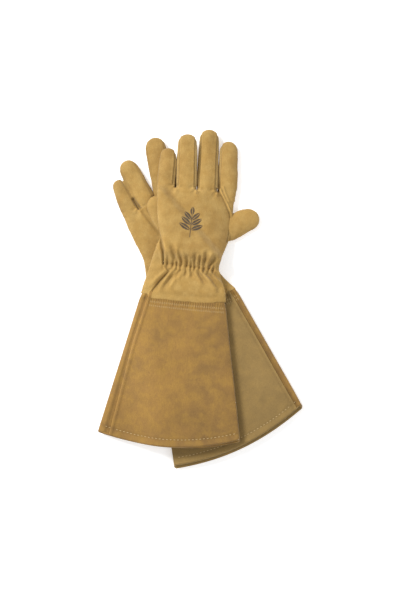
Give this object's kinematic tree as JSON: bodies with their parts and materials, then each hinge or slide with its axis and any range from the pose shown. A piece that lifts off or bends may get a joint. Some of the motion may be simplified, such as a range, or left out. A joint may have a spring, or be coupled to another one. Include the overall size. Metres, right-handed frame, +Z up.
{
  "type": "gardening gloves",
  "caption": "Pair of long leather gauntlet gardening gloves lying flat, fanned one over the other, with wide stitched cuffs.",
  "frame": {"origin": "middle of the pair's outline, on the surface that the gloves lie on", "axes": "+Y towards the fingertips, along the gloves' length, +X towards the top glove's thumb, +Z up from the surface"},
  "size_m": [0.2567, 0.4257, 0.0337],
  "materials": {
    "hand_leather": "matt suede-finish golden tan leather",
    "fork_leather": "matt, slightly paler tan leather",
    "cuff_leather": "brushed brown suede",
    "thread": "twisted tan thread",
    "elastic": "woven elastic tape"
  },
  "bodies": {
    "lower_glove": {"lower_hand_back": "hand_leather", "lower_hand_palm": "hand_leather", "lower_index_wing": "hand_leather", "lower_wrist_elastic": "elastic", "lower_index_wrap": "hand_leather", "lower_index_fork": "fork_leather", "lower_middle_back": "hand_leather", "lower_middle_palm": "hand_leather", "lower_middle_fork_index": "fork_leather", "lower_middle_fork_ring": "fork_leather", "lower_ring_root": "hand_leather", "lower_thumb_back": "hand_leather", "lower_thumb_front": "hand_leather", "lower_skirt_back": "hand_leather", "lower_skirt_palm": "hand_leather", "lower_cuff_back": "cuff_leather", "lower_cuff_palm": "cuff_leather", "lower_cuff_hem": "cuff_leather", "lower_hem_stitching": "thread", "lower_wrist_stitching": "thread"},
    "lower_ring": {"lower_ring_back": "hand_leather", "lower_ring_palm": "hand_leather", "lower_ring_fork_middle": "fork_leather", "lower_ring_fork_little": "fork_leather"},
    "lower_little": {"lower_little_back": "hand_leather", "lower_little_palm": "hand_leather", "lower_little_fork": "fork_leather"},
    "upper_hand": {"upper_hand_back": "hand_leather", "upper_hand_palm": "hand_leather", "upper_index_wing": "hand_leather", "upper_wrist_elastic": "elastic"},
    "upper_cuff": {"upper_skirt_back": "hand_leather", "upper_skirt_palm": "hand_leather", "upper_cuff_back": "cuff_leather", "upper_cuff_palm": "cuff_leather", "upper_cuff_hem": "cuff_leather", "upper_hem_stitching": "thread", "upper_wrist_stitching": "thread"},
    "upper_index": {"upper_index_wrap": "hand_leather", "upper_index_fork": "fork_leather"},
    "upper_middle": {"upper_middle_back": "hand_leather", "upper_middle_palm": "hand_leather", "upper_middle_fork_index": "fork_leather", "upper_middle_fork_ring": "fork_leather"},
    "upper_ring": {"upper_ring_back": "hand_leather", "upper_ring_palm": "hand_leather", "upper_ring_fork_middle": "fork_leather", "upper_ring_fork_little": "fork_leather"},
    "upper_little": {"upper_little_back": "hand_leather", "upper_little_palm": "hand_leather", "upper_little_fork": "fork_leather"},
    "upper_thumb": {"upper_thumb_back": "hand_leather", "upper_thumb_front": "hand_leather"}
  },
  "joints": [
    {"name": "upper_glove_lift", "type": "slide", "parent": "lower_glove", "child": "upper_hand", "axis": [0, 0, 1], "range_m": [0, 0.15]},
    {"name": "upper_cuff_bend", "type": "hinge", "parent": "upper_hand", "child": "upper_cuff", "pos_m": [-0.0203, 0.0404, 0.02521], "axis": [-0.9945, 0.1045, 0], "range_deg": [0, 70]},
    {"name": "upper_index_bend", "type": "hinge", "parent": "upper_hand", "child": "upper_index", "pos_m": [0.03323, 0.13356, 0.01252], "axis": [0.9945, -0.1045, 0], "range_deg": [0, 60]},
    {"name": "upper_middle_bend", "type": "hinge", "parent": "upper_hand", "child": "upper_middle", "pos_m": [0.00837, 0.13618, 0.02113], "axis": [0.9945, -0.1045, 0], "range_deg": [0, 60]},
    {"name": "upper_ring_bend", "type": "hinge", "parent": "upper_hand", "child": "upper_ring", "pos_m": [-0.01699, 0.13884, 0.025], "axis": [0.9945, -0.1045, 0], "range_deg": [0, 60]},
    {"name": "upper_little_bend", "type": "hinge", "parent": "upper_hand", "child": "upper_little", "pos_m": [-0.04036, 0.1413, 0.02515], "axis": [0.9945, -0.1045, 0], "range_deg": [0, 60]},
    {"name": "upper_thumb_bend", "type": "hinge", "parent": "upper_hand", "child": "upper_thumb", "pos_m": [0.04088, 0.08575, 0.01162], "axis": [-0.1045, -0.9945, 0], "range_deg": [0, 50]},
    {"name": "lower_ring_bend", "type": "hinge", "parent": "lower_glove", "child": "lower_ring", "pos_m": [-0.0714, 0.12912, 0.012], "axis": [0.9397, 0.342, 0], "range_deg": [0, 60]},
    {"name": "lower_little_bend", "type": "hinge", "parent": "lower_glove", "child": "lower_little", "pos_m": [-0.08918, 0.10934, 0.012], "axis": [0.9397, 0.342, 0], "range_deg": [0, 60]}
  ]
}
